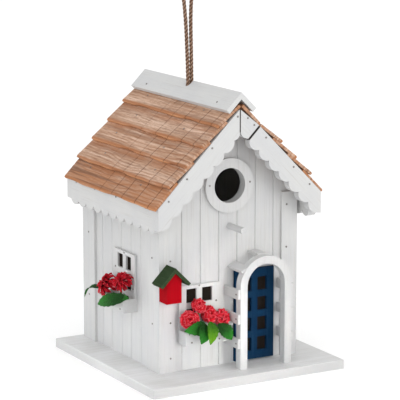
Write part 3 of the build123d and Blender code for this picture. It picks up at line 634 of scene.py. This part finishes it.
dress(
    metal("steel_pin", (0.30, 0.28, 0.27), (0.12, 0.11, 0.10), 0.5),
    "roof_brads",
    "flap_brads",
    "wall_brads",
    "trim_brads",
    "base_nails",
)
dress(
    metal("hinge_brass", (0.74, 0.55, 0.24), (0.38, 0.26, 0.11), 0.3),
    "hinge_leaves_fixed",
    "hinge_leaves_flap",
    "hinge_pins",
    "hinge_screws_fixed",
    "hinge_screws_flap",
)

# Roof courses: flat-sawn softwood boards, stained light brown and unpainted, each lapped over the
# next one down and pinned to the deck. Knife cuts across them make each look like a row of shingles.
ROOT2 = math.sqrt(2)
BOARD_THICK = 0.0026
SCORE_DEPTH = 0.0006
SCORE_HALF = 0.0006
SCORE_PITCH = 0.0235
CORD_NOTCH_U = 0.0086
NOTCH_HALF = 0.0052
NOTCH_SLOPE = 0.0004
ROWS_ALONG = 92
STEPS_DOWN = 22
RING_PITCH = 0.0034


def stained_wood(along, across, finish, seed):
    """Year rings cut nearly flat: long arches along the board, with fine dark fibres in them."""
    wander = finish.noise(finish.join(along * 11.0, across * 26.0, seed), 1.0, 2.0)
    ripple = finish.noise(finish.join(along * 46.0, across * 90.0, seed + 3.0), 1.0, 2.0)
    arch = (wander - 0.5) * 0.020 + across + (ripple - 0.5) * 0.0016
    ring = finish.math("FRACT", arch / RING_PITCH + seed)
    late = ring.step(0.30, 0.88) * (1.0 - ring.step(0.91, 1.0))
    fibre = finish.noise(finish.join(along * 70.0, across * 1500.0, seed), 1.0, 3.0)
    streaks = finish.noise(finish.join(along * 9.0, across * 330.0, seed + 7.0), 1.0, 3.0)
    pale = finish.noise(finish.join(along * 14.0, across * 60.0, seed + 11.0), 1.0, 2.0)
    colour = finish.mix(streaks.step(0.3, 0.7), (0.70, 0.492, 0.370), (0.45, 0.268, 0.172))
    strength = pale.step(0.36, 0.66)
    colour = finish.mix(late * strength * 0.75, colour, (0.28, 0.115, 0.048))
    colour = finish.mix(fibre.step(0.50, 0.66) * 0.6, colour, (0.19, 0.088, 0.048))
    specks = finish.noise(finish.join(along * 800.0, across * 1100.0, seed + 5.0), 1.0, 1.0)
    colour = finish.mix(specks.step(0.50, 0.72) * 0.45, colour, (0.27, 0.135, 0.080))
    return colour, late * strength, fibre


shingle = Finish("stained_shingle")
along, from_edge, unused = shingle.split(shingle.place["UV"])
seed = shingle.stored("board")
score = shingle.stored("score")
stain = shingle.stored("stain")
wood_colour, late_wood, wood_fibre = stained_wood(along, from_edge, shingle, seed)
soak = shingle.noise(shingle.join(along * 24.0, from_edge * 130.0, seed + 19.0), 1.0, 3.0)
# Painted shade: each board's top darkens where the next board up laps over it and shades it. The band along
# the board's own lower edge below is wood tone.
lap_shade = from_edge.step(0.0135, 0.0215) * soak.step(0.30, 0.62) * 0.55
lower = from_edge.step(0.0036, 0.0022) * soak.step(0.15, 0.5) * 0.8
wood_colour = shingle.mix(shingle.math("MAXIMUM", lap_shade, lower), wood_colour, (0.37, 0.135, 0.046))
wood_colour = shingle.mix(stain * soak.step(0.20, 0.6) * 0.75, wood_colour, (0.41, 0.165, 0.065))
burnt = shingle.noise(shingle.join(along * 6.0, from_edge * 240.0, seed + 23.0), 1.0, 3.0)
wood_colour = shingle.mix(burnt.step(0.50, 0.62) * (stain * 0.5 + 0.22), wood_colour, (0.14, 0.055, 0.026))
# A brighter orange on the last 0.4 to 0.8 mm above each board's lower edge.
bright_lower_edge = from_edge.step(0.0008, 0.0004) * soak.step(0.2, 0.7)
wood_colour = shingle.mix(bright_lower_edge, wood_colour, (0.58, 0.275, 0.130))
wood_colour = shingle.mix(score.step(0.1, 0.6) * 0.97, wood_colour, (0.050, 0.022, 0.012))
shingle_material = shingle.set(
    Base_Color=wood_colour,
    Roughness=0.66 + wood_fibre * 0.2,
    Specular_IOR_Level=0.3,
    Normal=shingle.bump(wood_fibre * 0.6 + late_wood * 0.4, 0.00025),
)

deck_wood = Finish("bare_deck")
deck_x, deck_along, deck_z = deck_wood.split(deck_wood.place["Object"])
deck_colour, unused, deck_fibre = stained_wood(deck_along, (deck_x - deck_z) * 0.35, deck_wood, 2.0)
dress(
    deck_wood.set(
        Base_Color=deck_wood.mix(0.5, deck_colour, (0.42, 0.235, 0.165)),
        Roughness=0.75,
        Normal=deck_wood.bump(deck_fibre, 0.0002),
    ),
    "roof_deck_left",
    "roof_deck_right",
    "flap_deck",
)


def course_board(node, side, body, number, stain):
    """A lapped board as one closed skin.

    Its profile runs down the top face and back up the underside. Both faces lie on the line from
    the board's upper edge on the deck to its lower edge on the next board, one board apart. Along
    the house the lower edge wanders, the middle lifts, and each cut sinks in a V.
    """
    low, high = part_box(node)
    reach_out = (APEX_Z - low.z) * ROOT2
    reach_side = max(-low.x, high.x) * ROOT2
    end = (reach_out + reach_side - BOARD_THICK) / 2
    lift = max((reach_side - BOARD_THICK - reach_out) / 2, 0.0)
    start = (-high.x if side < 0 else low.x) * ROOT2
    cuts = low.y + dice.uniform(0.010, 0.022) + SCORE_PITCH * np.arange(8) + dice.uniform(-0.003, 0.003, 8)
    cuts = cuts[cuts < high.y - 0.006]
    spread = SCORE_HALF * np.array([-1.0, -0.5, 0.0, 0.5, 1.0])
    trim = dice.uniform(0.0, 0.0009, 2)
    full_notch = NOTCH_HALF - NOTCH_SLOPE
    hole = CORD_Y + np.array([-NOTCH_HALF, -full_notch, full_notch, NOTCH_HALF])
    along = np.linspace(low.y + trim[0], high.y - trim[1], ROWS_ALONG)
    y = np.concatenate([along, (cuts[:, None] + spread).ravel(), hole])
    y = np.unique(np.round(y, 6))[:, None]
    cut = np.clip(1 - np.abs(y - cuts[None]) / SCORE_HALF, 0, 1).max(axis=1, keepdims=True)
    faint = np.clip((high.y - y) / (high.y - low.y) * 1.6 - 0.15, 0.15, 1.0)
    share = np.linspace(0.0, 1.0, STEPS_DOWN)[None]
    wander = 0.0004 * np.sin(y * 61 + number) + 0.0003 * np.sin(y * 143 + 2.3 * number)
    notch = np.clip((NOTCH_HALF - np.abs(y - CORD_Y)) / NOTCH_SLOPE, 0, 1) * CORD_NOTCH_U
    first = np.maximum(start, notch)
    down = first + (end - first + wander - 0.0004) * share
    under = lift * share + 0.00025 * np.sin((y - low.y) / (high.y - low.y) * np.pi) * share
    ridge_marks = 0.00006 * np.sin(down * 5200 + 4 * np.sin(y * 37 + number))
    corner = 0.0006 * np.clip((share - 0.965) / 0.035, 0, 1) ** 2
    fade_in = np.clip(share * 8, 0, 1)
    top = under + BOARD_THICK + (ridge_marks - SCORE_DEPTH * cut * faint) * fade_in - corner
    u = np.concatenate([down, down[:, ::-1]], axis=1)
    v = np.concatenate([top, under[:, ::-1]], axis=1)
    pinch = np.concatenate([(top + under)[:1] / 2, (top + under)[-1:] / 2])
    pinch = np.concatenate([pinch, pinch[:, ::-1]], axis=1)
    u = np.concatenate([u[:1], u, u[-1:]])
    v = np.concatenate([pinch[:1], v, pinch[1:]])
    y = np.concatenate([y[:1], y, y[-1:]])
    x, z = side * (u + v) / ROOT2, APEX_Z - (u - v) / ROOT2
    points = np.stack([x, np.broadcast_to(y, u.shape), z], axis=-1)
    faces = grid_faces(*u.shape, True)
    if side > 0:
        faces = faces[:, ::-1]
    piece = mesh_object(node.replace("course", "shingles"), points, faces, shingle_material)
    put_uv(piece, np.broadcast_to(y + 0.3 * number, u.shape), end - u)
    cut_depth = np.concatenate([(cut * faint)[:1], cut * faint, (cut * faint)[-1:]])
    on_top = np.repeat([1.0, 0.0], STEPS_DOWN)[None]
    for label, numbers in (("score", cut_depth * on_top), ("board", 1.7 * number), ("stain", stain)):
        store(piece, label, np.broadcast_to(numbers, u.shape))
    piece.data.set_sharp_from_angle(angle=math.radians(50))
    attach(piece, body)
    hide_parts(node)


EAVE_STAIN = 0.85
LEFT_STAIN = (0.1, 0.0, 0.2, 0.1, EAVE_STAIN)
FLAP_STAIN = (0.0, 0.15, 0.1, EAVE_STAIN)
for number, stain in enumerate(LEFT_STAIN, 1):
    course_board(f"left_course_{number}", -1, "house", number, stain)
course_board("right_top_course", 1, "house", 6, 0.1)
for number, stain in enumerate(FLAP_STAIN, 1):
    course_board(f"flap_course_{number}", 1, "roof_flap", 6 + number, stain)

# Flowers: fabric carnations and leaves on moulded stems, pushed into bores in the two window boxes.
# The petals are thin cut cloth, crimped at the rim and packed round a tight heart, ruffled in the
# front box and narrow as spikes in the side box.
PETAL_CLOTH = 0.00022


def fabric(name, deep, light, veins, rim, gloss, rim_highlight_strength=0.5):
    """Cloth from deep at the root to light further out, with fine threads and a pale rim. On the petals the
    deep root is partly painted shade between packed petals, and the pale rim partly a painted highlight.
    """
    finish = Finish(name)
    across, out, unused = finish.split(finish.place["UV"])
    place = finish.place["Object"]
    mottle = finish.noise(place, 420.0, 3.0)
    threads = finish.noise(finish.join(across * 40.0, out * 7.0, 0.0), 3.0, 3.0)
    # Dye with painted shade and highlight in part: near black at the root, where petals pack into shade,
    # and a pale rim for the light on the crimped edges.
    colour = finish.mix((out + (mottle - 0.5) * 0.5).step(0.25, 0.85), deep, light)
    colour = finish.mix((out + (mottle - 0.5) * 0.25).step(0.86, 1.0) * rim_highlight_strength, colour, rim)
    colour = finish.mix(threads.step(0.45, 0.75) * 0.4, colour, veins)
    return finish.set(
        Base_Color=colour, Roughness=gloss, Specular_IOR_Level=0.12, Normal=finish.bump(threads, 0.0002)
    )


# Red petal cloth: painted shade at the heart and a painted highlight on the rim, over the dye.
petal_red = fabric(
    "petal_red",
    deep=(0.055, 0.000, 0.002),
    light=(0.54, 0.006, 0.016),
    veins=(0.22, 0.001, 0.005),
    rim=(0.80, 0.14, 0.18),
    gloss=0.75,
    rim_highlight_strength=0.7,
)
crimson = fabric(
    "crimson",
    deep=(0.055, 0.000, 0.002),
    light=(0.47, 0.003, 0.012),
    veins=(0.18, 0.001, 0.005),
    rim=(0.72, 0.10, 0.14),
    gloss=0.75,
    rim_highlight_strength=0.35,
)


def petals(centre, axis, radius, rings, teeth, crimp, seed):
    """All the petals of one bloom as a (petals, out, across) grid.

    A petal starts at the bloom's heart and leans from the axis by its ring's angle. Going out it
    widens as a fan and its lean grows, so that it curls back; its rim is cut in teeth and crimped
    by a sine across that grows with the square of the way out. A ring says how many petals it has,
    their lean in radians, and their length and half width as shares of the bloom's radius.
    """
    roll = np.random.default_rng(seed)
    axis = np.array(axis, float) / np.linalg.norm(axis)
    helper = np.array([0.0, 1.0, 0.3]) if abs(axis[1]) < 0.8 else np.array([1.0, 0.0, 0.2])
    east = np.cross(axis, helper)
    east /= np.linalg.norm(east)
    north = np.cross(axis, east)
    turns = np.concatenate([np.arange(ring[0]) / ring[0] + 0.37 * k for k, ring in enumerate(rings)])
    ring_lean, ring_length, width = np.concatenate([np.tile(ring[1:], (ring[0], 1)) for ring in rings]).T
    count = len(turns)
    lean = ring_lean + roll.uniform(-0.12, 0.12, count)
    length = ring_length * roll.uniform(0.82, 1.12, count)
    azimuth = (2 * np.pi * turns + roll.uniform(-0.15, 0.15, count))[:, None, None]
    out = np.linspace(0.0, 1.0, 9)[None, :, None]
    side = np.linspace(-1.0, 1.0, 13)[None, None]
    phase = roll.uniform(0, 6.28, count)[:, None, None]
    tooth = 1 - 0.10 * np.abs(np.sin(side * teeth * np.pi / 2 + phase)) * out**4 - 0.16 * side**2 * out
    along = radius * length[:, None, None] * out * tooth
    opening = lean[:, None, None] + 0.55 * out**2
    spread = radius * width[:, None, None] * out**0.75 * side
    wave = radius * crimp * out**2 * np.sin(side * 4.4 + phase)
    cup = 0.22 * radius * (side**2) * out
    outward = np.cos(azimuth)[..., None] * east + np.sin(azimuth)[..., None] * north
    across = -np.sin(azimuth)[..., None] * east + np.cos(azimuth)[..., None] * north
    height = along * np.cos(opening) + (wave + cup) * np.sin(opening)
    away = along * np.sin(opening) - (wave + cup) * np.cos(opening)
    points = (
        np.array(centre)
        + height[..., None] * axis
        + away[..., None] * outward
        + spread[..., None] * across
        - 0.25 * radius * axis
    )
    return points, np.broadcast_to(out, along.shape), np.broadcast_to(side, along.shape)


def sheets(name, patches, material, thickness):
    """One piece from many open grids, each given the cloth's thickness."""
    points = np.concatenate([patch[0] for patch in patches])
    count, rows, columns = points.shape[:3]
    one = grid_faces(rows, columns, False)
    faces = (one[None] + np.arange(count)[:, None, None] * rows * columns).reshape(-1, 4)
    out, side = (np.concatenate([patch[k] for patch in patches]) for k in (1, 2))
    piece = mesh_object(name, points, faces, material)
    put_uv(piece, side, out)
    cloth = piece.modifiers.new("cloth", "SOLIDIFY")
    cloth.thickness = thickness
    cloth.offset = 0.0
    return piece


RUFFLED = (
    (5, 0.15, 0.75, 0.40),
    (6, 0.5, 0.95, 0.52),
    (7, 0.95, 1.10, 0.58),
    (7, 1.45, 1.15, 0.60),
    (6, 1.9, 1.0, 0.55),
)
SPIKY = (
    (6, 0.2, 0.95, 0.16),
    (9, 0.6, 1.10, 0.15),
    (13, 1.0, 1.25, 0.14),
    (13, 1.4, 1.22, 0.14),
    (9, 1.9, 1.0, 0.15),
)
front_heads = (
    ((-0.0484, -0.0725, 0.0598), (-0.35, -0.85, 0.3), 0.0084),
    ((-0.0368, -0.0690, 0.0712), (-0.1, -0.7, 0.75), 0.0066),
    ((-0.0250, -0.0700, 0.0617), (0.05, -0.8, 0.6), 0.0074),
    ((-0.0122, -0.0710, 0.0566), (0.4, -0.85, 0.35), 0.0078),
)
side_heads = (
    ((-0.0840, 0.0255, 0.0770), (-0.85, 0.2, 0.5), 0.0102),
    ((-0.0825, -0.0055, 0.0860), (-0.75, -0.15, 0.7), 0.0088),
)
front_bloom = sheets(
    "front_carnations",
    [petals(*head, RUFFLED, 4, 0.2, 20 + k) for k, head in enumerate(front_heads)],
    petal_red,
    PETAL_CLOTH,
)
side_bloom = sheets(
    "side_carnations",
    [petals(*head, SPIKY, 1, 0.08, 30 + k) for k, head in enumerate(side_heads)],
    crimson,
    PETAL_CLOTH,
)
for bloom, node in ((front_bloom, "front_blooms"), (side_bloom, "side_blooms")):
    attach(bloom, "house")
    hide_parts(node)

LEAF_CLOTH = 0.0003
leaf_green = fabric(
    "leaf_green",
    deep=(0.003, 0.030, 0.003),
    light=(0.014, 0.140, 0.010),
    veins=(0.03, 0.19, 0.02),
    rim=(0.02, 0.16, 0.01),
    gloss=0.55,
)
lime_green = fabric(
    "lime_green",
    deep=(0.016, 0.090, 0.003),
    light=(0.090, 0.250, 0.006),
    veins=(0.13, 0.32, 0.02),
    rim=(0.06, 0.20, 0.01),
    gloss=0.6,
)


def leaf(root, tip, face, width, droop, fold, seed):
    """A pointed leaf as a (1, out, across) grid.

    Its midrib runs from root to tip and bows towards face by a sine. Its half width follows a sine
    of the way out, taken to the 0.8th power inside and outside the sine, so that it is widest a
    little before the middle. Its two halves fold up from the midrib, and side veins ripple it.
    """
    root, tip, face = (np.array(point, float) for point in (root, tip, face))
    reach_out = tip - root
    across = np.cross(reach_out, face)
    across /= np.linalg.norm(across)
    face = np.cross(across, reach_out)
    face /= np.linalg.norm(face)
    out = np.linspace(0.0, 1.0, 25)[:, None]
    side = np.linspace(-1.0, 1.0, 17)[None]
    half = width / 2 * (np.sin(np.pi * np.clip(out, 0.02, 0.985) ** 0.8)) ** 0.8
    half = half * (1 + 0.06 * np.sin(out * 38 + seed))
    lift = droop * np.sin(np.pi * out) + fold * half * np.abs(side) ** 0.8
    ripple = 0.00022 * np.sin((out * 9 - np.abs(side) * 1.5) * 2 * np.pi) * (1 - np.abs(side) * 0.4)
    twist = 0.25 * np.sin(seed) * half * side * out
    height = lift + ripple + twist
    along_rib = root + out[..., None] * reach_out
    points = along_rib + (half * side)[..., None] * across + height[..., None] * face
    shape = points.shape[:2]
    return points[None], np.broadcast_to(out, shape)[None], np.broadcast_to(side * 1.0, shape)[None]


FRONT_OUT = (0.0, -1.0, 0.25)
SIDE_OUT = (-1.0, 0.0, 0.25)
UPWARD = (-0.4, 0.1, 1.0)
dark_leaves = [
    leaf((-0.0330, -0.0760, 0.0520), (-0.0575, -0.0790, 0.0515), FRONT_OUT, 0.0130, 0.0030, 0.25, 1.0),
    leaf((-0.0355, -0.0765, 0.0550), (-0.0425, -0.0830, 0.0385), FRONT_OUT, 0.0150, 0.0030, 0.25, 2.2),
    leaf((-0.0205, -0.0750, 0.0525), (-0.0090, -0.0800, 0.0375), FRONT_OUT, 0.0125, 0.0030, 0.25, 4.4),
    leaf((-0.083, 0.0300, 0.0700), (-0.0885, 0.0585, 0.0575), UPWARD, 0.0070, 0.0060, 0.3, 6.3),
    leaf((-0.084, -0.0225, 0.0735), (-0.0920, 0.0240, 0.0580), SIDE_OUT, 0.0120, 0.0040, 0.3, 7.7),
    leaf((-0.083, -0.0120, 0.0725), (-0.0860, -0.0270, 0.0735), SIDE_OUT, 0.0060, 0.002, 0.3, 9.4),
]
bright_leaf = leaf(
    (-0.0300, -0.0775, 0.0565), (-0.0345, -0.0855, 0.0375), FRONT_OUT, 0.0115, 0.0035, 0.3, 3.1
)
leaves = sheets("flower_foliage", dark_leaves, leaf_green, LEAF_CLOTH)
bright = sheets("flower_foliage_front", [bright_leaf], lime_green, LEAF_CLOTH)
for piece in (leaves, bright):
    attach(piece, "house")
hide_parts("flower_leaves")

# Stems: straight green plastic stalks, each pushed into its bore in a box and leaning to its bloom.
STEM_FOOT_UNDER = 0.007
FRONT_BORES = ((-0.0480, -0.0700), (-0.0395, -0.0685), (-0.0270, -0.0690), (-0.0125, -0.0690))
SIDE_BORES = ((-0.0830, 0.0246), (-0.0825, -0.0036))
STEM_R = 0.00095
STEM_SIDES = 12
stem_green = fabric(
    "stem_green",
    deep=(0.01, 0.06, 0.01),
    light=(0.03, 0.12, 0.02),
    veins=(0.02, 0.09, 0.01),
    rim=(0.03, 0.12, 0.02),
    gloss=0.5,
)
way_up = np.linspace(0.0, 1.0, 24)[None, :, None]
heads = np.array([head[0] for head in front_heads + side_heads])
box_top = np.array([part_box("front_flower_box")[1].z] * 4 + [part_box("side_flower_box")[1].z] * 2)
feet = np.column_stack([FRONT_BORES + SIDE_BORES, box_top - STEM_FOOT_UNDER])
stem_lines = feet[:, None] + (heads - feet)[:, None] * way_up
stem_points, stem_faces = closed_tubes(stem_lines, np.full(stem_lines.shape[:2], STEM_R), STEM_SIDES)
stems = mesh_object("flower_stalks", stem_points, stem_faces, stem_green)
put_uv(
    stems,
    np.broadcast_to(np.linspace(0, 1, STEM_SIDES)[None, None], stem_points.shape[:3]),
    np.broadcast_to(way_up, stem_points.shape[:3]),
)
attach(stems, "house")
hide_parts("flower_stems")
